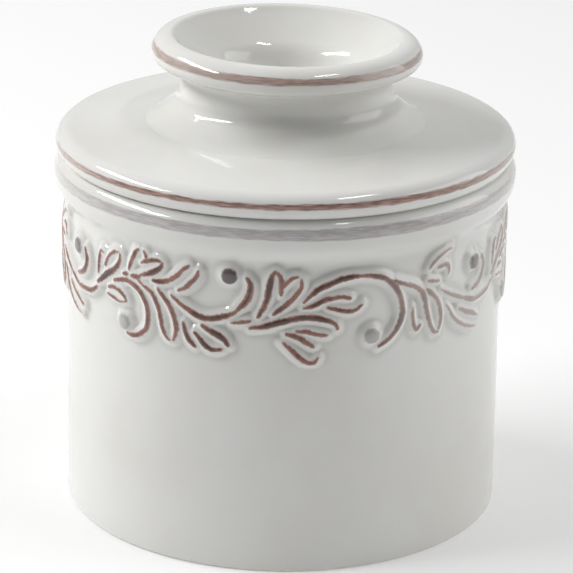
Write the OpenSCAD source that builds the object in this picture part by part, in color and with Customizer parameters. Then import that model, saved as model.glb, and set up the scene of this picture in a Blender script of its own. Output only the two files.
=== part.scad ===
// Butter crock: a glazed stoneware pot that holds a little water, and a lid that carries a
// bell-shaped cup of butter, mouth down, into it. The water seals the butter from the air.
// Millimetres. The crock stands on z = 0 and its axis is Z. The front faces -Y.

/* [Crock] */
// Height of the rim, where the lid rests
rim_z = 80.5; // [79:0.5:90]
// Outside radius of the wall behind the vine
wall_r = 48.5; // [47:0.1:52]
// Outside radius just above the foot
foot_r = 48.9; // [47:0.1:53]
// Thickness of the wall
wall_t = 4.2; // [3.5:0.1:6]
// Height of the inside floor above the table
floor_z = 6; // [4:0.5:9]
// How far the rolled rim stands out from the wall
rim_out = 2.6; // [1:0.1:4]
// Inside radius of the foot ring
foot_in_r = 38; // [30:0.5:42]
// Height of the recess inside the foot ring
foot_rise = 1.2; // [0.5:0.1:2.5]

/* [Lid] */
// Outside radius of the lid
lid_r = 50.8; // [49:0.1:54]
// Height of the lid's widest line above the rim
lid_edge = 2.9; // [2:0.1:4]
// Height of the lid's top above the rim, at the foot of the knob
lid_top = 7.2; // [6:0.1:9]
// Depth of the ring under the lid that keeps it centred in the mouth
register_depth = 2.5; // [1.5:0.1:5]
// Gap between that ring and the inside of the crock
register_gap = 1.3; // [0.5:0.1:3]

/* [Knob] */
// Radius of the foot of the knob
knob_foot_r = 31; // [28:0.5:34]
// Radius of the neck
neck_r = 23.4; // [20:0.1:26]
// Radius of the lip
lip_r = 29.8; // [27:0.1:33]
// Height of the knob above the lid
knob_h = 19.3; // [16:0.1:24]
// Radius of the hollow at the bottom
hollow_r = 14; // [11:0.5:15]

/* [Butter bell] */
// Height of the bell's mouth above the table
mouth_z = 17; // [14:0.5:20]
// Outside radius of the bell at its mouth
mouth_r = 33.5; // [31:0.5:36]
// Outside radius of the bell under the lid
crown_r = 31; // [28:0.5:33]
// Thickness of the bell's wall
bell_t = 4; // [3:0.1:5]

/* [Vine] */
// How far the vine stands out from the wall
vine_out = 1.0; // [0.6:0.1:1.5]
// Width of a stem or leaf edge where it meets the wall
vine_w = 2.8; // [1.5:0.1:3.2]
// Times the pattern repeats around the crock
vine_repeats = 3; // [1:1:3]

/* [Hidden] */

glaze_white = [0.90, 0.89, 0.86];
vine_brown = [0.55, 0.42, 0.37];

round_fn = 180;
bead_fn = 6;
sleeve_fn = 90;

inner_r = wall_r - wall_t;
rim_r = wall_r + rim_out;
cove_z = rim_z - 12;
band_z = cove_z - 23.5;
rim_round = [3.2, 3.5];
seat_in_r = inner_r + 1.2;
plate_z = rim_z + 1;
knob_z = rim_z + lid_top;
top_z = knob_z + knob_h;
register_r = inner_r - register_gap;

// One third of the pattern. Each line is one stem, leaf edge or tendril, as [along, up] points:
// along the wall from the middle of the front, and up from the table.
vine_length = 360 / vine_repeats;
strokes = [
    [[-56, 56.5], [-52.5, 56], [-48, 56.5], [-44, 61], [-40, 65], [-38.5, 67.5]],
    [[-52, 65], [-51, 61.5], [-53.5, 59], [-55.5, 58.5]],
    [[-46.5, 61.5], [-45.5, 66], [-43.5, 64], [-41, 67.5], [-38.5, 67.5]],
    [[-42.5, 58], [-37, 57.5]],
    [[-40.5, 61], [-35, 62], [-31, 57.5], [-31, 53], [-36.5, 50.5]],
    [[-33.5, 63], [-29, 60], [-27, 55], [-25, 51.5]],
    [[-28.5, 62], [-24.5, 57.5], [-24.5, 51.5]],
    [[-22, 56], [-20, 51.5], [-17.5, 53], [-14, 50.5], [-11.5, 52.5]],
    [[-17.5, 56], [-11.5, 52.5]],
    [[-36, 65], [-34, 69], [-32, 66.5], [-28.5, 68.5], [-27, 67], [-32, 64.5]],
    [[-29.5, 63.5], [-25, 65], [-20, 68.5]],
    [[-23, 62.5], [-18.5, 67]],
    [[-24.5, 61.5], [-18, 57.5], [-12, 58.5], [-8, 61.5], [-7.5, 67]],
    [[-5, 59], [-3, 65], [-2, 69], [0, 66.5], [3.5, 67.5], [3.5, 64.5], [-1, 61]],
    [[4, 62.5], [10.5, 66.5], [19.5, 67], [25, 62], [26, 56.5], [21, 51]],
    [[4, 61], [10, 63], [14.5, 62.5]],
    [[9.5, 60.5], [17, 61]],
    [[-9.5, 57], [-6, 56.5], [0, 58], [5.5, 59], [11, 56]],
    [[2.5, 56], [9.5, 55]],
    [[1, 55], [6.5, 52.5]],
    [[0, 53], [5.5, 49.5], [7.5, 50.5]],
    [[29, 57], [30.5, 54]],
    [[24.5, 65.5], [31.5, 61.5], [34, 53.5], [36, 51.5]],
    [[32.5, 62], [37, 55], [36.5, 52]],
    [[33, 66.5], [38.5, 69.5]],
    [[36, 66], [39, 64.5]],
    [[37, 61], [43.5, 57.5], [47.5, 56.5]],
    [[39, 57], [43, 51.5], [49, 50]],
    [[43, 55], [50.5, 51.5]]
];
berries = [[-55.5, 65], [-37.5, 52.5], [-11.5, 67.5], [19, 54]];

// Points on an elliptical arc about c with radii r, from angle a0 to a1
function arc(c, r, a0, a1, n = 10) =
    [for (i = [0:n]) let (a = a0 + (a1 - a0) * i / n) c + [r[0] * cos(a), r[1] * sin(a)]];

// Points on a cubic curve with end points p and s, pulled towards q and r
function bend(p, q, r, s, n = 10) =
    [for (i = [0:n])
        let (t = i / n, u = 1 - t)
        u * u * u * p + 3 * u * u * t * q + 3 * u * t * t * r + t * t * t * s];

// Points that repeat the one before are dropped, so that curves can share their ends
module turned(outline) {
    last = len(outline) - 1;
    kept = [for (i = [0:last]) if (i == 0 || norm(outline[i] - outline[max(i, 1) - 1]) > 0.01) outline[i]];
    rotate_extrude($fn = round_fn) polygon(kept);
}

// The outside of the wall, from just below the vine up to the widest line of the rim
outer_wall = concat(
    [[wall_r, band_z]],
    bend([wall_r, cove_z], [wall_r, cove_z + 4], [rim_r, cove_z + 3.5], [rim_r, rim_z - rim_round[1]])
);

// The pot: foot ring, wall, cove under the rolled rim, seat for the lid, and the inside
module crock_body() {
    foot_round = 1;
    floor_round = 5;
    lip_round = 1.2;
    color(glaze_white) turned(concat(
        [[0, foot_rise], [foot_in_r - foot_rise, foot_rise], [foot_in_r, 0]],
        arc([foot_r - foot_round, foot_round], [foot_round, foot_round], -90, 0),
        outer_wall,
        arc([rim_r - rim_round[0], rim_z - rim_round[1]], rim_round, 9, 90),
        arc([seat_in_r, rim_z - lip_round], [lip_round, lip_round], 90, 180),
        arc([inner_r - floor_round, floor_z + floor_round], [floor_round, floor_round], 0, -90),
        [[0, floor_z]]
    ));
}

// The lid: a thick rounded edge, a gently domed top, and under it the seat and a centring ring
module lid_plate() {
    edge_round = [1.8, lid_edge];
    shoulder = [3.8, 2.8];
    ring_w = 2.5;
    ring_round = 0.8;
    ring_z = rim_z - register_depth;
    edge_z = rim_z + lid_edge;
    color(glaze_white) turned(concat(
        [[0, plate_z], [register_r - ring_w, plate_z]],
        arc([register_r - ring_w + ring_round, ring_z + ring_round], [ring_round, ring_round], 180, 270, 4),
        arc([register_r - ring_round, ring_z + ring_round], [ring_round, ring_round], -90, 0, 4),
        [[register_r, rim_z]],
        arc([lid_r - edge_round[0], edge_z], edge_round, -90, 0),
        arc([lid_r - shoulder[0], edge_z], shoulder, 9, 81),
        bend([46.5, knob_z - 1.5], [42, knob_z - 1.1], [36, knob_z - 0.5], [knob_foot_r, knob_z], 6),
        [[0, knob_z]]
    ));
}

// The handle: a collar that draws in to a neck and flares to a rolled lip, hollow inside
module flared_knob() {
    neck_z = knob_z + 9;
    lip_round = [4, 3.9];
    mouth_round = [2.2, 3.4];
    lip_z = top_z - lip_round[1];
    lip_mid = lip_r - lip_round[0];
    pad = [knob_foot_r - 3.4, knob_z + 1.9];
    waist = [neck_r + 1.2, knob_z + 4.4];
    mouth_in = [lip_mid, top_z - mouth_round[1]] + [mouth_round[0] * cos(125), mouth_round[1] * sin(125)];
    dish = [hollow_r + 3.5, knob_z + 12.5];
    throat = [hollow_r + 1.2, knob_z + 8.2];
    floor_edge = [hollow_r + 0.5, knob_z + 4.5];
    color(glaze_white) turned(concat(
        bend([knob_foot_r, knob_z], [knob_foot_r - 1.1, knob_z + 0.3], pad + [1, -0.8], pad, 5),
        bend(pad, pad + [-0.9, 0.7], waist + [1, -0.9], waist, 6),
        bend(waist, waist + [-0.6, 0.6], [neck_r, neck_z - 3.2], [neck_r, neck_z], 6),
        bend([neck_r, neck_z], [neck_r, neck_z + 4.5], [lip_r, lip_z - 3.2], [lip_r, lip_z]),
        arc([lip_mid, lip_z], lip_round, 9, 90),
        arc([lip_mid, top_z - mouth_round[1]], mouth_round, 99, 117, 2),
        bend(mouth_in, mouth_in - [1.2, 1.3], dish + [1.8, 1.6], dish, 6),
        bend(dish, dish - [1.2, 1.1], throat + [0.5, 1.9], throat, 8),
        bend(throat, throat - [0.4, 1.5], floor_edge + [0, 1.5], floor_edge, 4),
        bend(floor_edge, [hollow_r, knob_z + 2], [hollow_r - 1, knob_z + 0.6], [hollow_r - 3, knob_z], 6)
    ));
}

// The cup that holds the butter: it hangs from the lid and its mouth stays under the water
module butter_bell() {
    mouth_round = bell_t / 2;
    crown_round = 3;
    color(glaze_white) turned(concat(
        arc([mouth_r - mouth_round, mouth_z + mouth_round], [mouth_round, mouth_round], -180, 0, 16),
        arc([crown_r + crown_round, plate_z - crown_round], [crown_round, crown_round], 180, 95, 8),
        [[crown_r + crown_round, plate_z]],
        [[crown_r - bell_t - crown_round, plate_z]],
        arc([crown_r - bell_t - crown_round, plate_z - crown_round], [crown_round, crown_round], 85, 0, 8)
    ));
}

// A low hexagonal pad of clay on the wall, at a point [along, up] of the vine pattern
module bead(p) {
    rotate([0, 0, p[0] * 180 / (PI * wall_r)])
        translate([0, -wall_r + 1, p[1]])
            rotate([90, 0, 0])
                cylinder(h = vine_out + 1, d1 = vine_w, d2 = vine_w * 0.55, $fn = bead_fn);
}

module stroke(points) {
    for (i = [1:len(points) - 1])
        hull() {
            bead(points[i - 1]);
            bead(points[i]);
        }
}

// The vine: stems, hearts, leaves, tendrils and berries, cut to sit on the wall
module vine_relief() {
    color(vine_brown) difference() {
        for (k = [0:vine_repeats - 1])
            rotate([0, 0, k * vine_length])
                union() {
                    for (s = strokes) stroke(s);
                    for (b = berries) bead(b);
                }
        rotate_extrude($fn = sleeve_fn)
            scale([1 / cos(180 / sleeve_fn), 1])
                polygon(concat([[0, band_z]], outer_wall, [[0, rim_z - rim_round[1]]]));
    }
}

crock_body();
vine_relief();
lid_plate();
flared_knob();
butter_bell();
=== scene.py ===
# %% [markdown]
# # A glazed stoneware butter crock
#
# The real object is two loose pieces of fired clay. The crock is a straight pot that holds a little
# cold water. The lid has a hollow, flared knob above and a cup of butter hanging below, and the
# water closes the cup's mouth and keeps the air out.
#
# This file builds the looks of that object round a fixed frame. The frame says where every node is
# and which body it moves with, so nothing here is placed by eye.

# %% The frame, and its box before anything is added
import math

import bmesh
import bpy
import numpy as np
from mathutils import Matrix, Vector


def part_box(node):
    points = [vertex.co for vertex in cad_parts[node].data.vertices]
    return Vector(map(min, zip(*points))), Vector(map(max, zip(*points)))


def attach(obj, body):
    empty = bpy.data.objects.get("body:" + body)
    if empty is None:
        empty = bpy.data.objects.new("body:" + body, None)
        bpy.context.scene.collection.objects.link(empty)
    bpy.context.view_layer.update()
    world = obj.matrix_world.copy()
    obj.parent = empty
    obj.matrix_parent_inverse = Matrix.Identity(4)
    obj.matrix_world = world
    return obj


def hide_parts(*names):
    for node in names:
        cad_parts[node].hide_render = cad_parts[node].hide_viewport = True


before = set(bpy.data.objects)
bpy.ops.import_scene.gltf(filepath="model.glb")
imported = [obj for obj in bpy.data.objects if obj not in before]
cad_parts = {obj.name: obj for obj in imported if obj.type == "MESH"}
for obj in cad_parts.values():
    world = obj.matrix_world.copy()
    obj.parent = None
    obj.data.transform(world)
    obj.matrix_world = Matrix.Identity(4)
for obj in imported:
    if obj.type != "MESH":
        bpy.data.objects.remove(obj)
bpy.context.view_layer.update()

MM = 0.001

# %% [markdown]
# ## Sizes
#
# Lengths are in millimetres in this file, and become metres when a mesh is made. The driving sizes
# are read off the frame's own nodes: how high the rim is, how wide the lid is, where the knob stands.

# %% Sizes from the frame
def low(node):
    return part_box(node)[0] / MM


def high(node):
    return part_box(node)[1] / MM


rim_z = high("crock_body").z
rim_r = high("crock_body").x
lid_r = high("lid_plate").x
lid_low_z = low("lid_plate").z
knob_z = low("flared_knob").z
knob_foot_r = high("flared_knob").x
top_z = high("flared_knob").z
mouth_z = low("butter_bell").z
mouth_r = high("butter_bell").x
plate_z = high("butter_bell").z
print(f"rim {rim_z:.1f} high and {rim_r:.1f} in radius, lid {lid_r:.1f}, top at {top_z:.1f} mm")

# %% [markdown]
# ## Turning on the wheel
#
# A thrown pot is a surface of revolution, so each clay member is one half outline spun round the
# axis. The outline is a list of (radius, height) points: straight runs, elliptical arcs for the
# rounded edges, and cubic curves where the clay sweeps from one width to another. It is drawn anti-
# clockwise, from the axis underneath, out and up, and back to the axis above.

# %% Curves for outlines
def arc(centre, radii, start, end, steps=12):
    """Points on an elliptical arc, angles in degrees."""
    turns = np.radians(np.linspace(start, end, steps + 1))
    return [(centre[0] + radii[0] * math.cos(a), centre[1] + radii[1] * math.sin(a)) for a in turns]


def sweep(start, pull_start, pull_end, end, steps=16):
    """Points on a cubic curve that leaves start towards pull_start and arrives from pull_end."""
    points = []
    for t in np.linspace(0, 1, steps + 1):
        weights = ((1 - t) ** 3, 3 * t * (1 - t) ** 2, 3 * t * t * (1 - t), t ** 3)
        corners = (start, pull_start, pull_end, end)
        points.append(tuple(sum(w * c[i] for w, c in zip(weights, corners)) for i in (0, 1)))
    return points


def run(start, end, steps):
    """Evenly spaced points on a straight run."""
    return [tuple(np.add(start, np.subtract(end, start) * i / steps)) for i in range(steps + 1)]


# %% Spinning an outline into a piece
AROUND = 240


def clean(outline):
    """Drops points that repeat the one before."""
    kept = [outline[0]]
    for point in outline[1:]:
        if math.dist(point, kept[-1]) > 0.01:
            kept.append(point)
    return kept


def turn(name, outline, around=AROUND, closed=False, sharp=35):
    """Spins an outline about the Z axis and returns the mesh object, smooth but for sharp corners."""
    outline = clean(outline)
    bm = bmesh.new()
    ring = [bm.verts.new((r * MM, 0, z * MM)) for r, z in outline]
    edges = [bm.edges.new(pair) for pair in zip(ring, ring[1:])]
    if closed:
        edges.append(bm.edges.new((ring[-1], ring[0])))
    bmesh.ops.spin(bm, geom=ring + edges, cent=(0, 0, 0), axis=(0, 0, 1), angle=2 * math.pi,
                   steps=around, use_merge=True)
    bmesh.ops.remove_doubles(bm, verts=bm.verts, dist=0.002 * MM)
    bmesh.ops.recalc_face_normals(bm, faces=bm.faces)
    mesh = bpy.data.meshes.new(name)
    bm.to_mesh(mesh)
    bm.free()
    mesh.shade_smooth()
    mesh.set_sharp_from_angle(angle=math.radians(sharp))
    piece = bpy.data.objects.new(name, mesh)
    bpy.context.scene.collection.objects.link(piece)
    print(f"{name}: {len(mesh.polygons)} faces")
    return piece


# %% [markdown]
# ## The crock
#
# The wall leans in by less than a millimetre from foot to shoulder. Above the vine it sweeps out to
# a rolled rim, whose flat top carries the lid. Underneath, a foot ring lifts the glaze off the
# kiln shelf. The vine is a band of its own, so the wall has a shallow bed for it to sit in, and the
# band's top and bottom edges meet the wall flush.

# %% The crock's outline
WALL_R = 48.5
WALL_T = 4.2
FOOT_R = 48.9
FLOOR_Z = 6.0
FOOT_IN = 38.0
RIM_ROUND = (3.2, 3.5)
COVE_Z = rim_z - 12
BAND = (46.5, 72.5)
BED = 0.7

inner_r = WALL_R - WALL_T
shoulder = sweep((WALL_R, COVE_Z), (WALL_R, COVE_Z + 4), (rim_r, COVE_Z + 3.5),
                 (rim_r, rim_z - RIM_ROUND[1]), 40)


def wall_radius(z):
    """Outside radius of the wall at heights z, from the vine's band up to the rim."""
    radii, heights = zip(*shoulder)
    return np.interp(z, heights, radii)


def crock_outline():
    bed_r = WALL_R - BED
    above = [p for p in shoulder if p[1] > BAND[1]]
    return (
        [(0, 1.2)] + run((0, 1.2), (FOOT_IN - 1.2, 1.2), 12)
        + [(FOOT_IN, 0)]
        + arc((FOOT_R - 1, 1), (1, 1), -90, 0)
        + run((FOOT_R, 1), (WALL_R, BAND[0]), 24)
        + [(bed_r, BAND[0]), (bed_r, BAND[1]), (float(wall_radius(BAND[1])), BAND[1])]
        + above
        + arc((rim_r - RIM_ROUND[0], rim_z - RIM_ROUND[1]), RIM_ROUND, 0, 90, 16)
        + arc((inner_r + 1.2, rim_z - 1.2), (1.2, 1.2), 90, 180)
        + run((inner_r, rim_z - 1.2), (inner_r, FLOOR_Z + 5), 16)
        + arc((inner_r - 5, FLOOR_Z + 5), (5, 5), 0, -90)
        + run((inner_r - 5, FLOOR_Z), (0, FLOOR_Z), 12)
    )


crock = turn("crock", crock_outline())

# %% [markdown]
# ## The lid
#
# The lid is a domed disc with a thick, rounded edge. Below, it has a flat seat for the rim, and
# inside that a low ring that drops into the mouth and keeps the lid centred. Its top meets the foot
# of the knob in a soft step, because glaze runs over that joint and half fills it.

# %% The lid's outline
EDGE_UP = 2.9
SEAT_R = lid_r - 1.8


def lid_outline():
    edge_z = rim_z + EDGE_UP
    ring_r = inner_r - 1.3
    return (
        [(0, plate_z)] + run((0, plate_z), (ring_r - 2.5, plate_z), 12)
        + arc((ring_r - 1.7, lid_low_z + 0.8), (0.8, 0.8), 180, 270, 5)
        + arc((ring_r - 0.8, lid_low_z + 0.8), (0.8, 0.8), -90, 0, 5)
        + [(ring_r, rim_z)]
        + arc((SEAT_R, edge_z), (lid_r - SEAT_R, EDGE_UP), -90, 0, 16)
        + arc((lid_r - 3.8, edge_z), (3.8, 2.8), 0, 78, 16)
        + sweep((46.6, knob_z - 1.5), (42, knob_z - 1.1), (36, knob_z - 0.5), (knob_foot_r, knob_z))
        + run((knob_foot_r, knob_z), (0, knob_z), 12)
    )


lid = turn("lid", lid_outline())

# %% [markdown]
# ## The knob
#
# The handle is a hollow collar. A low pad spreads it over the lid, a waist draws it in to a neck that
# fingers close round, and the neck turns out sharply under a heavy rolled lip. Inside, a dish runs
# down to a throat, which ends in a rounded corner on the lid. When the lid is turned over at table,
# the lip is the foot that it stands on.

# %% The knob's outline
NECK_R = 23.4
LIP_R = 29.8
HOLLOW_R = 14.0


def knob_outline():
    neck_z = knob_z + 9
    waist = (NECK_R + 1.2, knob_z + 4.4)
    pad = (knob_foot_r - 3.4, knob_z + 1.9)
    lip_z = top_z - 3.9
    lip_mid = LIP_R - 4
    inner_lip = arc((lip_mid, top_z - 3.4), (2.2, 3.4), 90, 125)
    mouth_in = inner_lip[-1]
    dish = (HOLLOW_R + 3.5, knob_z + 12.5)
    throat = (HOLLOW_R + 1.2, knob_z + 8.2)
    return (
        sweep((knob_foot_r, knob_z), (knob_foot_r - 1.1, knob_z + 0.3), (pad[0] + 1, pad[1] - 0.8), pad, 8)
        + sweep(pad, (pad[0] - 0.9, pad[1] + 0.7), (waist[0] + 1, waist[1] - 0.9), waist, 12)
        + sweep(waist, (waist[0] - 0.6, waist[1] + 0.6), (NECK_R, neck_z - 3.2), (NECK_R, neck_z), 12)
        + sweep((NECK_R, neck_z), (NECK_R, neck_z + 4.5), (LIP_R, lip_z - 3.2), (LIP_R, lip_z), 24)
        + arc((lip_mid, lip_z), (LIP_R - lip_mid, top_z - lip_z), 0, 90, 20)
        + inner_lip
        + sweep(mouth_in, (mouth_in[0] - 1.2, mouth_in[1] - 1.3), (dish[0] + 1.8, dish[1] + 1.6), dish, 16)
        + sweep(dish, (dish[0] - 1.2, dish[1] - 1.1), (throat[0] + 0.5, throat[1] + 1.9), throat, 12)
        + sweep(throat, (throat[0] - 0.4, throat[1] - 1.5), (HOLLOW_R + 0.5, knob_z + 6),
                (HOLLOW_R + 0.5, knob_z + 4.5), 10)
        + sweep((HOLLOW_R + 0.5, knob_z + 4.5), (HOLLOW_R, knob_z + 2), (HOLLOW_R - 1, knob_z + 0.6),
                (HOLLOW_R - 3, knob_z), 12)
    )


knob = turn("knob", knob_outline(), closed=True)

# %% [markdown]
# ## The butter bell
#
# The bell hangs under the lid with its mouth down. It widens a little towards the mouth, so that
# butter pressed into it can be reached with a knife, and its lip is fully rounded.

# %% The bell's outline
CROWN_R = 31.0
BELL_T = 4.0


def bell_outline():
    lip = BELL_T / 2
    fillet = 3
    return (
        arc((mouth_r - lip, mouth_z + lip), (lip, lip), -180, 0, 20)
        + run((mouth_r, mouth_z + lip), (CROWN_R, plate_z - fillet), 16)
        + arc((CROWN_R + fillet, plate_z - fillet), (fillet, fillet), 180, 95)
        + [(CROWN_R + fillet, plate_z), (CROWN_R - BELL_T - fillet, plate_z)]
        + arc((CROWN_R - BELL_T - fillet, plate_z - fillet), (fillet, fillet), 85, 0)
        + run((CROWN_R - BELL_T, plate_z - fillet), (mouth_r - BELL_T, mouth_z + lip), 16)
    )


bell = turn("bell", bell_outline(), around=180, closed=True)

# %% [markdown]
# ## Marks on the clay
#
# The painted lines, the stain and the bare foot follow the turned shapes, so each mesh carries them
# as attributes: one number a vertex, in millimetres. A material can then ask how far a point is from
# a line, wherever that line runs, without a picture wrapped round the pot.

# %% Reading and marking a piece's vertices
def vertices_of(piece):
    """The piece's vertices in millimetres, one row each."""
    co = np.empty(len(piece.data.vertices) * 3)
    piece.data.vertices.foreach_get("co", co)
    return co.reshape(-1, 3) / MM


def mark(piece, name, values):
    """Keeps one number for each vertex of the piece."""
    layer = piece.data.attributes.new(name, "FLOAT", "POINT")
    layer.data.foreach_set("value", np.asarray(values, np.float32))


def fade(distance, near, far):
    """1 up to near, 0 from far, and smooth between."""
    t = np.clip((far - distance) / (far - near), 0, 1)
    return t * t * (3 - 2 * t)


def mark_line(piece, line_r, line_z):
    """Marks the distance to a line brushed round the piece at one place on its outline."""
    co = vertices_of(piece)
    mark(piece, "line_gap", np.hypot(np.hypot(co[:, 0], co[:, 1]) - line_r, co[:, 2] - line_z))


# %% Where the lines run, and where the clay is bare
mark_line(crock, rim_r, rim_z - 2.9)
mark_line(lid, lid_r, rim_z + 3.1)
mark_line(knob, LIP_R - 0.3, top_z - 2.4)

co = vertices_of(crock)
reach = np.hypot(co[:, 0], co[:, 1])
mark(crock, "bare", fade(co[:, 2], 0.02, 0.15) * (reach > FOOT_IN - 0.6))

# %% [markdown]
# ### The maker's hand
#
# Nothing thrown by hand is level. The knob's lip dips a little to the right, by one degree. The dip
# grows from nothing at the knob's foot, so the joint to the lid stays closed. The lines were marked
# before this, so they dip with the clay.

# %% The knob's lip dips to the right
LIP_DIP = 1.0
co = vertices_of(knob)
rise = np.clip((co[:, 2] - knob_z) / (top_z - knob_z), 0, 1)
co[:, 2] -= LIP_DIP * rise ** 1.5 * (co[:, 0] + LIP_R) / (2 * LIP_R)
knob.data.vertices.foreach_set("co", (co * MM).ravel())
knob.data.update()
print("knob's lip from", round(float(co[co[:, 0] > 20, 2].max()), 1), "to", round(float(co[:, 2].max()), 1))

# %% [markdown]
# ## The vine
#
# The vine is pressed in low relief: padded leaves, hearts and tendrils with a raised line along each
# edge. One third of the pattern is drawn here, stroke by stroke. Each stroke has half its width at
# the middle, then its points: millimetres along the wall from the front, and up from the table. A
# smooth curve passes through the points. The pattern repeats three times round the pot.

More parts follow.
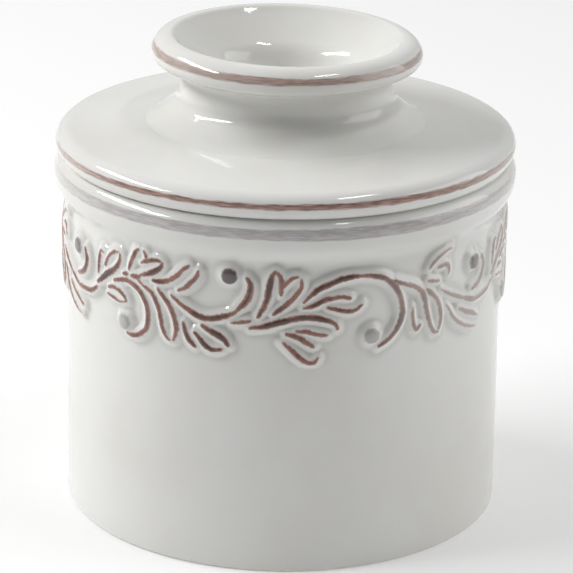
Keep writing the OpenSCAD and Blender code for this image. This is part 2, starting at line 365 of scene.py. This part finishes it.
# %% One third of the vine
VINE = {
    "low stem": (0.5, [(-59, 57.2), (-56.7, 56.2), (-54.6, 55.7), (-51, 55.8), (-48.7, 56.4), (-46.7, 57.8)]),
    "left hook": (0.65, [(-51.9, 65), (-51.2, 63.4), (-51.2, 61.8), (-52.1, 60.1), (-53.7, 58.9),
                         (-55.6, 58.3)]),
    "left heart, left": (0.4, [(-46.2, 61.1), (-46, 63), (-45.6, 65.2), (-45, 66.5), (-43.9, 66.2)]),
    "left heart, notch": (0.45, [(-43.6, 63.6), (-42.9, 65), (-41.9, 66.3), (-40.3, 67.5), (-38.9, 67.7)]),
    "left heart, right": (0.62, [(-38.5, 67.3), (-38.8, 65.6), (-40.5, 63.4), (-42.8, 61.8), (-44.9, 60.2),
                                 (-46.5, 59)]),
    "bud, top": (0.45, [(-42.4, 59), (-40.5, 59.4), (-38.7, 59), (-37.4, 58.2), (-36.6, 57.2)]),
    "bud, bottom": (0.3, [(-42.8, 57.4), (-40.5, 57), (-38.7, 56.7), (-37, 57)]),
    "scroll": (0.65, [(-40.5, 61), (-38.7, 61.6), (-36.5, 62), (-34.6, 61.6), (-32.8, 60.6), (-31.5, 59),
                      (-30.6, 57), (-30.5, 54.7), (-31, 52.5), (-32.6, 50.9), (-34.6, 50), (-36.4, 50.1)]),
    "leaf one": (0.52, [(-33.3, 62.9), (-31.5, 61.9), (-29.6, 60.9), (-28.5, 59.3), (-27.6, 57.5),
                        (-27.1, 55.2), (-26.7, 53.4), (-25.8, 51.8), (-24.8, 51.1)]),
    "leaf two": (0.62, [(-28, 62.1), (-26.5, 60.6), (-25.1, 59), (-24, 57), (-23.4, 54.7), (-23.5, 52.7),
                        (-24.1, 51.2)]),
    "frond, left": (0.5, [(-21.7, 55.9), (-21.2, 53.8), (-20.3, 52), (-19, 50.8)]),
    "frond, right": (0.5, [(-19.1, 54), (-17.8, 52.7), (-16.5, 51.3), (-14.9, 50.6), (-13, 50.9)]),
    "frond, top": (0.65, [(-17.4, 55.7), (-15.5, 54.8), (-13.7, 54), (-12.4, 53.2), (-11.6, 51.9)]),
    "middle heart, left": (0.5, [(-35.9, 64.7), (-35.3, 66.3), (-34.6, 67.7), (-34, 69), (-33, 69.8)]),
    "middle heart, notch": (0.4, [(-31.6, 69.8), (-31.2, 69.2), (-31, 68.3)]),
    "middle heart, top": (0.4, [(-32.4, 67), (-30.8, 67.7), (-28.7, 68.4), (-27.2, 68.3)]),
    "middle heart, right": (0.52, [(-26.8, 67.9), (-27.4, 66.8), (-29.2, 65.6), (-31, 64.7), (-32.6, 64.2)]),
    "dash one": (0.4, [(-37.7, 63.3), (-36.2, 63.5)]),
    "dash two": (0.6, [(-35.3, 63.4), (-32.8, 63.7)]),
    "high leaf, top": (0.55, [(-29.3, 63.7), (-27.4, 63.8), (-25.1, 64.6), (-23.3, 65.9), (-21.9, 67.4),
                              (-20.4, 68.6)]),
    "high leaf, bottom": (0.55, [(-22.9, 62.7), (-21.2, 63.7), (-19.9, 65), (-18.7, 66.5), (-18.2, 67.8)]),
    "hook stem": (0.6, [(-24.5, 61.3), (-22.8, 60.1), (-20.5, 58.8), (-18.3, 57.8), (-16, 57.5),
                        (-13.3, 58.1), (-11, 59), (-9.2, 60.5)]),
    "hook": (0.72, [(-9.6, 60.2), (-7.8, 62.2), (-7, 64.3), (-7, 66.1), (-7.7, 67.3)]),
    "front heart, left": (0.6, [(-5.3, 58.9), (-4.3, 60.6), (-3.5, 62.5), (-3.1, 64.4), (-2.8, 66.5),
                                (-2.3, 68.2), (-1.6, 69.1)]),
    "front heart, notch": (0.55, [(-1.3, 68.9), (-0.6, 67.7), (-0.4, 66), (-0.5, 63.9)]),
    "front heart, top": (0.45, [(-0.3, 65.3), (0.6, 66.5), (1.8, 67.5), (3.1, 68)]),
    "front heart, right": (0.62, [(3.7, 67.3), (3.6, 65.4), (2.4, 63.6), (1, 62.1), (-0.4, 60.9),
                                  (-2, 59.6)]),
    "arch, left": (0.58, [(4.2, 62.2), (5.8, 63.8), (7.8, 65.3), (10.1, 66.3), (12.4, 67.1), (14.6, 67.4),
                          (16.9, 67.5)]),
    "arch, right": (0.58, [(16.4, 67.5), (19.2, 67.2), (21.5, 66.5), (23.3, 65.3), (24.6, 63.8), (25.5, 62.2),
                           (26.1, 60.2), (26.4, 57.9), (25.8, 55.6), (24.4, 53.6), (22.8, 52.2),
                           (20.8, 51.1)]),
    "arch leaf, top": (0.52, [(4.2, 60.9), (6.5, 61.5), (8.3, 62.5), (10.5, 63), (12.4, 63.1), (14.2, 62.7)]),
    "arch leaf, bottom": (0.45, [(9.4, 60.9), (11.5, 60.3), (13.7, 59.8), (15.5, 60.1), (16.9, 61.1)]),
    "front stem": (0.4, [(-11, 57.1), (-8.7, 57.4), (-6.9, 57.8)]),
    "front leaf, top": (0.64, [(-6.9, 56.2), (-4, 56.8), (-1.7, 57.5), (0.5, 58.1), (2.8, 58.7), (5.1, 58.9),
                               (7.4, 58.6), (9.6, 57.9), (11, 57.1), (11.5, 56.1)]),
    "front leaf, bottom": (0.5, [(2.8, 55.9), (5.1, 55.6), (7.4, 55), (9.4, 54.8)]),
    "low leaf, top": (0.58, [(0.8, 55.1), (2.8, 54.6), (4.6, 53.6), (6.5, 52.2)]),
    "low leaf, bottom": (0.5, [(-0.1, 53.3), (1.9, 51.5), (3.7, 49.8), (5.1, 48.8), (6.6, 48.7),
                               (7.4, 49.8)]),
    "drop": (0.38, [(29, 58.4), (29.1, 56.1), (29.6, 54), (30.3, 53.4), (31.2, 54.2)]),
    "right leaf, left": (0.52, [(24.4, 65.3), (26.9, 64.2), (29.6, 63.1), (31.2, 61.8), (32.1, 60),
                                (32.6, 57.9), (33.2, 55.6), (34, 53.4), (35.1, 51.8), (36.3, 51.5)]),
    "right leaf, right": (0.48, [(32.8, 61.8), (34.6, 60.2), (36, 58.4), (36.8, 56.1), (36.9, 53.8),
                                 (36.4, 52.1)]),
    "right heart, top": (0.42, [(33.3, 66.3), (34.6, 67.7), (36.5, 68.8), (38.3, 69.6), (39.7, 69.7)]),
    "right heart, notch": (0.45, [(35.8, 66.1), (37.4, 66.4), (38.5, 66.2), (39, 65.2), (39, 64)]),
    "right dash": (0.35, [(33, 63.7), (34.6, 63.4), (36.2, 63.1)]),
    "right stem": (0.42, [(36.9, 60.9), (39.2, 59.5), (41.5, 58.4), (44.3, 57.1)]),
    "end leaf, bottom": (0.42, [(38.5, 57.2), (39.6, 55.6), (41, 53.6), (42.8, 52), (45.1, 50.6),
                                (47.4, 49.7), (49.2, 49.3)]),
    "end leaf, top": (0.5, [(43, 55), (45.5, 53.6), (47.8, 52.7), (50.3, 51.5)]),
}
# Each berry: along, up, and how much stain it took
BERRIES = [(-55.3, 64.5, 0.75), (-37.3, 52.5, 0.4), (-11.4, 67.5, 1.0), (19.2, 53.8, 0.5)]
BERRY_R = 1.75
REPEATS = 3
period = 2 * math.pi * (WALL_R + 0.8) / REPEATS
print(len(VINE), "strokes and", len(BERRIES), "berries in", round(period, 1), "mm")


# %% A smooth curve through a stroke's points
def through(points, step=0.2):
    """Closely spaced points on a Catmull-Rom curve, with how far along each one is, from 0 to 1."""
    p = np.array(points, float)
    p = np.vstack([2 * p[0] - p[1], p, 2 * p[-1] - p[-2]])
    out = []
    for a, b, c, d in zip(p, p[1:], p[2:], p[3:]):
        count = max(2, int(np.linalg.norm(c - b) / step))
        t = np.arange(count)[:, None] / count
        out.append(0.5 * (2 * b + (c - a) * t + (2 * a - 5 * b + 4 * c - d) * t ** 2
                          + (3 * b - a - 3 * c + d) * t ** 3))
    line = np.vstack(out + [p[-2:-1]])
    return line, np.linspace(0, 1, len(line))


# %% [markdown]
# ### How the relief rises
#
# For every vertex of a fine sleeve the script works out how deep inside the nearest stroke it lies,
# in millimetres, with a minus sign outside. A soft pad of clay reaches two millimetres past the
# strokes, and a narrow ridge stands on it along each stroke. Strokes taper at both ends. The depth is
# kept on the mesh, because the finish needs it: the brown stain sits on the ridges.

# %% How deep inside a stroke each point lies
REACH = 4.0


def stroke_depth(s, z):
    depth = np.full(s.shape, -REACH)
    for half, points in VINE.values():
        line, along = through(points)
        widths = half * (0.4 + 0.6 * np.sin(np.pi * along) ** 0.6)
        middle = (line[:, 0].min() + line[:, 0].max()) / 2
        ds = (s - middle + period / 2) % period - period / 2
        near = np.flatnonzero((np.abs(ds) < np.ptp(line[:, 0]) / 2 + REACH)
                              & (z > line[:, 1].min() - REACH) & (z < line[:, 1].max() + REACH))
        gaps = np.hypot(ds[near, None] - (line[:, 0] - middle), z[near, None] - line[:, 1])
        depth[near] = np.maximum(depth[near], (widths - gaps).max(axis=1))
    return depth


def berry_marks(s, z):
    """Distance to the nearest berry's middle, and the stain it took."""
    gap, stain = np.full(s.shape, 9.0), np.zeros(s.shape)
    for berry_s, berry_z, took in BERRIES:
        ds = (s - berry_s + period / 2) % period - period / 2
        here = np.hypot(ds, z - berry_z)
        stain = np.where(here < gap, took, stain)
        gap = np.minimum(gap, here)
    return gap, stain


# %% The sleeve, raised into a vine
ROWS = 85
PAD, RIDGE, BERRY_DOME = 0.8, 0.36, 0.65


def vine_outline():
    """The closed outline of the sleeve: up the front, and down the back to where it began."""
    front = [(float(wall_radius(z)), float(z)) for z in np.linspace(*BAND, ROWS)]
    back_r = WALL_R - BED + 0.02
    return front + [(back_r, BAND[1]), (back_r, BAND[0]), front[0]]


def rolled_sleeve(name, outline, around):
    """Rolls a flat grid into a sleeve: its columns go round the pot, its rows follow the outline."""
    bm = bmesh.new()
    bmesh.ops.create_grid(bm, x_segments=around, y_segments=len(outline) - 1, size=1)
    for vert in bm.verts:
        turn_by = (vert.co.x + 1) * math.pi
        r, z = outline[round((vert.co.y + 1) / 2 * (len(outline) - 1))]
        vert.co = (r * MM * math.cos(turn_by), r * MM * math.sin(turn_by), z * MM)
    bmesh.ops.remove_doubles(bm, verts=bm.verts, dist=0.002 * MM)
    bmesh.ops.recalc_face_normals(bm, faces=bm.faces)
    mesh = bpy.data.meshes.new(name)
    bm.to_mesh(mesh)
    bm.free()
    mesh.shade_smooth()
    mesh.set_sharp_from_angle(angle=math.radians(60))
    sleeve = bpy.data.objects.new(name, mesh)
    bpy.context.scene.collection.objects.link(sleeve)
    return sleeve


vine = rolled_sleeve("vine", vine_outline(), 1020)
print("vine:", len(vine.data.polygons), "faces")
co = vertices_of(vine)
radius = np.hypot(co[:, 0], co[:, 1])
around_mm = np.arctan2(co[:, 0], -co[:, 1]) * REPEATS * period / (2 * math.pi)
depth = stroke_depth(around_mm, co[:, 2])
berry_gap, berry_stain = berry_marks(around_mm, co[:, 2])

pad = PAD * np.maximum(fade(-depth, 0.5, 1.7), 1.2 * fade(berry_gap, 1.7, 3.6))
ridge = RIDGE * fade(-depth, -0.35, 0.4)
dome = BERRY_DOME * np.sqrt(np.clip(1 - (berry_gap / BERRY_R) ** 2, 0, 1))
on_front = radius > WALL_R - BED + 0.1
band_edge = fade(np.abs(co[:, 2] - sum(BAND) / 2), 11, 12.9)
height = (pad + np.maximum(ridge, dome)) * band_edge * on_front
co[:, :2] *= (1 + height / radius)[:, None]
vine.data.vertices.foreach_set("co", (co * MM).ravel())
vine.data.update()
print("relief up to", round(float(height.max()), 2), "mm")

# %% What the finish needs to know about the relief
mark(vine, "depth", np.where(on_front, depth, -REACH))
mark(vine, "berry_gap", np.where(on_front, berry_gap, 9))
mark(vine, "berry_stain", berry_stain)
# A band just outside every pad and berry that the finish greys: partly pooled glaze, partly painted shade at
# the pad's foot.
mark(vine, "pool_and_shade", np.exp(-((np.minimum(-depth, berry_gap - 1.4) - 1.9) / 0.8) ** 2) * band_edge * on_front)

# %% [markdown]
# ## Colours and nodes
#
# Colours are written as sRGB hex, as a colour picker shows them, and turned to the linear values
# that the shader wants. One small function adds a node with its settings and its inputs.

# %% Colour and node helpers
def linear(hex_colour):
    parts = [int(hex_colour[i:i + 2], 16) / 255 for i in (1, 3, 5)]
    return [c / 12.92 if c <= 0.04045 else ((c + 0.055) / 1.055) ** 2.4 for c in parts] + [1]


def add(material, kind, settings=None, inputs=None):
    """Adds one node. An input is a plain value, or the output socket that feeds it."""
    tree = material.node_tree
    new = tree.nodes.new("ShaderNode" + kind)
    for name, value in (settings or {}).items():
        setattr(new, name, value)
    for name, value in (inputs or {}).items():
        if isinstance(value, bpy.types.NodeSocket):
            tree.links.new(value, new.inputs[name])
        else:
            new.inputs[name].default_value = value
    return new


def new_material(name):
    material = bpy.data.materials.new(name)
    material.use_nodes = True
    material.node_tree.nodes.clear()
    return material


# The three settings that the finishes below use most
BLEND = {"data_type": "RGBA"}
SOFT = {"interpolation_type": "SMOOTHSTEP"}
ADD_SCALED = {"operation": "MULTIPLY_ADD"}

# %% [markdown]
# ## The glaze
#
# The finish is a thick, glossy, opaque white glaze over buff stoneware, fired until it flows. Glaze
# is a glass with an IOR of about 1.5. To the eye it is nearly mirror-smooth, but it settles in slow
# waves about a centimetre across, which bend the reflections, and the potter's fingers leave soft
# rings about 5 mm apart. It is cloudy: a touch greyer in patches three centimetres across, where it
# lies thicker. Light goes about a millimetre into it, which softens the shading.

# %% The glassy coat
GLAZE = "#E5E5E2"
GLAZE_THICK = "#E0DFDA"
CLOUD_MM, WAVE_MM, RING_MM = 30, 11, 5


def cloudy_white(material):
    """The glaze's own colour."""
    where = add(material, "TexCoord").outputs["Object"]
    clouds = add(material, "TexNoise", None, {"Vector": where, "Scale": 1000 / CLOUD_MM, "Detail": 3})
    patches = add(material, "MapRange", SOFT,
                  {"Value": clouds.outputs["Fac"], "From Min": 0.35, "From Max": 0.7})
    return add(material, "Mix", BLEND, {0: patches.outputs[0], 6: linear(GLAZE),
                                        7: linear(GLAZE_THICK)}).outputs[2]


def glassy_coat(material, colour, gloss=0.06):
    """Puts a colour under the glaze: its gloss, its slow waves and the throwing rings."""
    where = add(material, "TexCoord").outputs["Object"]
    waves = add(material, "TexNoise", None, {"Vector": where, "Scale": 1000 / WAVE_MM, "Detail": 1})
    squash = add(material, "Mapping", None, {"Vector": where, "Scale": (8, 8, 1000 / RING_MM)})
    rings = add(material, "TexNoise", None, {"Vector": squash.outputs[0], "Scale": 1, "Detail": 1})
    relief = add(material, "Math", ADD_SCALED, {0: rings.outputs["Fac"], 1: 0.35, 2: waves.outputs["Fac"]})
    bump = add(material, "Bump", None,
               {"Height": relief.outputs[0], "Strength": 0.22, "Distance": 0.05 * MM})
    coat = add(material, "BsdfPrincipled", None, {
        "Base Color": colour, "Roughness": gloss, "IOR": 1.52, "Subsurface Weight": 0.05,
        "Subsurface Scale": 1.2 * MM, "Normal": bump.outputs["Normal"]})
    add(material, "OutputMaterial", None, {"Surface": coat.outputs[0]})


# %% [markdown]
# ## Painted lines
#
# A line of iron stain runs round the lid's edge and the knob's lip, and a thin wash of plum stain
# round the crock's rim. Each was brushed on a turning wheel, then wiped. The hairs leave streaks
# 0.3 mm apart and 3 mm long, the edges are broken, and each line is stronger at the front of the pot.

# %% A brushed line
IRON_DARK, IRON_PALE = "#74493B", "#AE8474"
PLUM_DARK, PLUM_PALE = "#8C8084", "#B4ADB0"
STREAK_MM, STREAK_LONG_MM, LOAD_MM = 0.3, 3, 22


def brushed_line(material, under, half_width, dark, pale, strength):
    where = add(material, "TexCoord").outputs["Object"]
    gap = add(material, "Attribute", {"attribute_name": "line_gap"}).outputs["Fac"]
    lengthwise = add(material, "Mapping", None, {
        "Vector": where, "Scale": (1000 / STREAK_LONG_MM, 1000 / STREAK_LONG_MM, 1000 / STREAK_MM)})
    hairs = add(material, "TexNoise", None, {"Vector": lengthwise.outputs[0], "Scale": 1, "Detail": 3})
    load = add(material, "TexNoise", None, {"Vector": where, "Scale": 1000 / LOAD_MM, "Detail": 3})

    # Both noises move the edge: up to 0.3 mm for the hairs and 0.4 mm for the load.
    ragged = add(material, "Math", ADD_SCALED, {0: hairs.outputs["Fac"], 1: 0.6, 2: gap})
    edge = add(material, "Math", ADD_SCALED, {0: load.outputs["Fac"], 1: 0.8, 2: ragged.outputs[0]})
    inside = add(material, "MapRange", SOFT, {
        "Value": edge.outputs[0], "From Min": half_width + 0.95, "From Max": half_width + 0.5})

    # Each line is laid on stronger at the front of the pot and paler towards the sides.
    place = add(material, "SeparateXYZ", None, {0: where})
    front = add(material, "MapRange", SOFT, {
        "Value": place.outputs["Y"], "From Min": -0.018, "From Max": -0.042, "To Min": 0.62, "To Max": 1.0})
    full = add(material, "Math", {"operation": "MULTIPLY"}, {0: inside.outputs[0], 1: front.outputs[0]})
    cover = add(material, "Math", {"operation": "MULTIPLY"}, {0: full.outputs[0], 1: strength})
    tone = add(material, "MapRange", SOFT,
               {"Value": hairs.outputs["Fac"], "From Min": 0.35, "From Max": 0.68})
    stain = add(material, "Mix", BLEND, {0: tone.outputs[0], 6: linear(dark), 7: linear(pale)})
    return add(material, "Mix", BLEND, {0: cover.outputs[0], 6: under, 7: stain.outputs[2]}).outputs[2]


# %% White glaze, with the lines on the lid and the knob
lid_glaze = new_material("white glaze with iron line, lid")
glassy_coat(lid_glaze, brushed_line(lid_glaze, cloudy_white(lid_glaze), 0.62, IRON_DARK, IRON_PALE, 0.88))
knob_glaze = new_material("white glaze with iron line, knob")
glassy_coat(knob_glaze, brushed_line(knob_glaze, cloudy_white(knob_glaze), 0.78, IRON_DARK, IRON_PALE, 0.9))
bell_glaze = new_material("plain white glaze")
glassy_coat(bell_glaze, cloudy_white(bell_glaze))

# %% [markdown]
# ### The crock, and its bare foot
#
# The foot ring is wiped clean of glaze, or the pot would weld itself to the kiln shelf. There the
# buff stoneware shows: matt, sandy, with grains of about 0.5 mm.

# %% The crock's glaze and the bare clay
BARE_CLAY, CLAY_GRAIN = "#C7B498", "#A08A6C"
GRAIN_MM = 0.5

crock_glaze = new_material("white glaze with plum line, bare foot")
lined = brushed_line(crock_glaze, cloudy_white(crock_glaze), 1.15, PLUM_DARK, PLUM_PALE, 0.62)
where = add(crock_glaze, "TexCoord").outputs["Object"]
sand = add(crock_glaze, "TexNoise", None, {"Vector": where, "Scale": 1000 / GRAIN_MM, "Detail": 2})
grains = add(crock_glaze, "MapRange", SOFT, {"Value": sand.outputs["Fac"], "From Min": 0.5, "From Max": 0.7})
clay = add(crock_glaze, "Mix", BLEND, {0: grains.outputs[0], 6: linear(BARE_CLAY), 7: linear(CLAY_GRAIN)})
bare = add(crock_glaze, "Attribute", {"attribute_name": "bare"}).outputs["Fac"]
body = add(crock_glaze, "Mix", BLEND, {0: bare, 6: lined, 7: clay.outputs[2]})
dull = add(crock_glaze, "MapRange", None, {"Value": bare, "To Min": 0.06, "To Max": 0.85})
glassy_coat(crock_glaze, body.outputs[2], dull.outputs[0])

# %% [markdown]
# ## Stained relief
#
# Iron stain was brushed over the vine and wiped back, so it stays along the ridges: nearly black-
# brown in the middle of a thick stroke, rose-brown at its edges and wherever it was rubbed. The
# berries took a plum stain. The glaze over it runs off the ridges and pools in the ditch round every
# pad. The grey there is painted shade at the pad's foot as well as that thicker glaze.

# %% Stain on the ridges
STAIN_DARK, STAIN_ROSE, BERRY_PLUM = "#43211A", "#946354", "#6A6062"
# The grey of the ditches round the pads: pooled glaze and painted shade together.
GLAZE_POOL_AND_SHADE = "#BDBBB4"
FLECK_MM, RUB_MM = 0.9, 6
DRY_FROM, DRY_BY = 12 * MM, 40 * MM

vine_glaze = new_material("white glaze over iron-stained relief")
where = add(vine_glaze, "TexCoord").outputs["Object"]
depth_mm = add(vine_glaze, "Attribute", {"attribute_name": "depth"}).outputs["Fac"]
fleck = add(vine_glaze, "TexNoise", None, {"Vector": where, "Scale": 1000 / FLECK_MM, "Detail": 2})
rub = add(vine_glaze, "TexNoise", None, {"Vector": where, "Scale": 1000 / RUB_MM, "Detail": 2})

# The flecks move the stain's edge by up to 0.25 mm, and rubbing by up to 0.3 mm more. The dark core is
# rubbed harder than the edge, and the brush ran dry towards the right.
flecked = add(vine_glaze, "Math", ADD_SCALED, {0: fleck.outputs["Fac"], 1: -0.5, 2: depth_mm})
worn = add(vine_glaze, "Math", ADD_SCALED, {0: rub.outputs["Fac"], 1: -0.6, 2: flecked.outputs[0]})
cover = add(vine_glaze, "MapRange", SOFT,
            {"Value": worn.outputs[0], "From Min": -0.85, "From Max": -0.45, "To Max": 0.95})
patchy = add(vine_glaze, "Math", ADD_SCALED, {0: rub.outputs["Fac"], 1: -0.9, 2: worn.outputs[0]})
core = add(vine_glaze, "MapRange", SOFT, {"Value": patchy.outputs[0], "From Min": -0.95, "From Max": -0.5})
place = add(vine_glaze, "SeparateXYZ", None, {0: where})
wet = add(vine_glaze, "MapRange", SOFT, {
    "Value": place.outputs["X"], "From Min": DRY_FROM, "From Max": DRY_BY, "To Min": 1, "To Max": 0.6})
dark = add(vine_glaze, "Math", {"operation": "MULTIPLY"}, {0: core.outputs[0], 1: wet.outputs[0]})
laid = add(vine_glaze, "Math", {"operation": "MULTIPLY"}, {0: cover.outputs[0], 1: wet.outputs[0]})
# Painted shade: the ditch round every pad is greyed as if in shadow, along with the thicker glaze there.
pool_and_shade = add(vine_glaze, "Attribute", {"attribute_name": "pool_and_shade"}).outputs["Fac"]
pooled_and_shaded = add(vine_glaze, "Math", {"operation": "MULTIPLY"}, {0: pool_and_shade, 1: 0.28})
white = add(vine_glaze, "Mix", BLEND,
            {0: pooled_and_shaded.outputs[0], 6: cloudy_white(vine_glaze), 7: linear(GLAZE_POOL_AND_SHADE)})
iron = add(vine_glaze, "Mix", BLEND, {0: dark.outputs[0], 6: linear(STAIN_ROSE), 7: linear(STAIN_DARK)})
lined = add(vine_glaze, "Mix", BLEND, {0: laid.outputs[0], 6: white.outputs[2], 7: iron.outputs[2]})

# %% Plum on the berries
berry_mm = add(vine_glaze, "Attribute", {"attribute_name": "berry_gap"}).outputs["Fac"]
took = add(vine_glaze, "Attribute", {"attribute_name": "berry_stain"}).outputs["Fac"]
rubbed = add(vine_glaze, "Math", ADD_SCALED, {0: fleck.outputs["Fac"], 1: 0.5, 2: berry_mm})
disc = add(vine_glaze, "MapRange", SOFT, {"Value": rubbed.outputs[0], "From Min": 2.25, "From Max": 1.75})
plum = add(vine_glaze, "Math", {"operation": "MULTIPLY"}, {0: disc.outputs[0], 1: took})
coloured = add(vine_glaze, "Mix", BLEND, {0: plum.outputs[0], 6: lined.outputs[2], 7: linear(BERRY_PLUM)})
glassy_coat(vine_glaze, coloured.outputs[2])

# %% [markdown]
# ## Riding on the bodies
#
# Each piece stands for one node of the frame and moves with its body: the vine with the crock, and
# the knob and the bell with the lid.

# %% Bodies, replaced nodes and finishes
for piece, body, node, finish, slot in (
    (crock, "crock", "crock_body", crock_glaze, "white_glaze"),
    (vine, "crock", "vine_relief", vine_glaze, "stained_glaze"),
    (lid, "lid", "lid_plate", lid_glaze, "white_glaze"),
    (knob, "lid", "flared_knob", knob_glaze, "white_glaze"),
    (bell, "lid", "butter_bell", bell_glaze, "white_glaze"),
):
    piece.data.materials.append(finish)
    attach(piece, body)
    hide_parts(node)
    print(piece.name, "rides on", body)

# %% [markdown]
# ## Camera
#
# A long lens from a little above: the camera stands 65 cm in front, 29 cm up, and looks down 20
# degrees, so the mouth of the knob shows as a wide ellipse. It leans by less than a degree.

# %% The camera
camera = bpy.data.objects.new("camera", bpy.data.cameras.new("camera"))
bpy.context.scene.collection.objects.link(camera)
bpy.context.scene.camera = camera
camera.data.sensor_width = 36
camera.data.lens = 192.32
camera.location = (0, -0.6474, 0.2853)
heading, tilt, lean = (math.radians(a) for a in (-0.058, 69.851, 0.889))
look = Matrix.Rotation(heading, 3, "Z") @ Matrix.Rotation(tilt, 3, "X") @ Matrix.Rotation(lean, 3, "Z")
camera.rotation_euler = look.to_euler()

# %% [markdown]
# ## Floor and lights
#
# The pot stands on a white acrylic table that glows faintly, as product tables do. A large softbox on
# the left and a little behind does most of the work, a small one over the right shoulder adds a
# second glint, and a broad card on the right lifts that side. The room is darkest behind the camera,
# which lets the front of the glaze fall to grey.

# %% A softbox
def softbox(name, direction, distance, size, power):
    light = bpy.data.lights.new(name, "AREA")
    light.shape = "RECTANGLE"
    light.size, light.size_y = size
    light.energy = power
    holder = bpy.data.objects.new(name, light)
    toward = Vector(direction).normalized()
    holder.location = Vector((0, 0, 0.06)) + toward * distance
    holder.rotation_euler = toward.to_track_quat("Z", "Y").to_euler()
    bpy.context.scene.collection.objects.link(holder)
    return holder


softbox("left softbox", (-0.76, 0.06, 0.64), 1.2, (1.0, 0.17), 12)
softbox("right softbox", (0.35, -0.16, 0.915), 1.2, (0.36, 0.09), 2.0)
softbox("right card", (0.95, 0.05, 0.35), 1.4, (1.2, 0.9), 6)

# %% The table and the room
bm = bmesh.new()
bmesh.ops.create_grid(bm, x_segments=1, y_segments=1, size=3)
floor_mesh = bpy.data.meshes.new("floor")
bm.to_mesh(floor_mesh)
bm.free()
floor = bpy.data.objects.new("floor", floor_mesh)
bpy.context.scene.collection.objects.link(floor)
acrylic = new_material("white acrylic table")
sheet = add(acrylic, "BsdfPrincipled", None, {
    "Base Color": linear("#E4E4E4"), "Roughness": 0.6, "Emission Color": linear("#FFFFFF"),
    "Emission Strength": 0.2})
add(acrylic, "OutputMaterial", None, {"Surface": sheet.outputs[0]})
floor.data.materials.append(acrylic)

# How bright the room is level with the pot, and what it gains a unit back and a unit up
ROOM_LEVEL, ROOM_BACK, ROOM_UP = 0.17, 0.34, 0.25
room = bpy.data.worlds.new("studio")
room.use_nodes = True
room.node_tree.nodes.clear()
way = add(room, "TexCoord").outputs["Generated"]
parts = add(room, "SeparateXYZ", None, {0: way})
behind = add(room, "Math", ADD_SCALED, {0: parts.outputs["Y"], 1: ROOM_BACK, 2: ROOM_LEVEL})
above = add(room, "Math", {"operation": "MULTIPLY_ADD", "use_clamp": True},
            {0: parts.outputs["Z"], 1: ROOM_UP, 2: behind.outputs[0]})
sky = add(room, "Background", None, {"Color": (1, 1, 1, 1), "Strength": above.outputs[0]})
add(room, "OutputWorld", None, {"Surface": sky.outputs[0]})
bpy.context.scene.world = room
bpy.context.scene.view_settings.view_transform = "Standard"
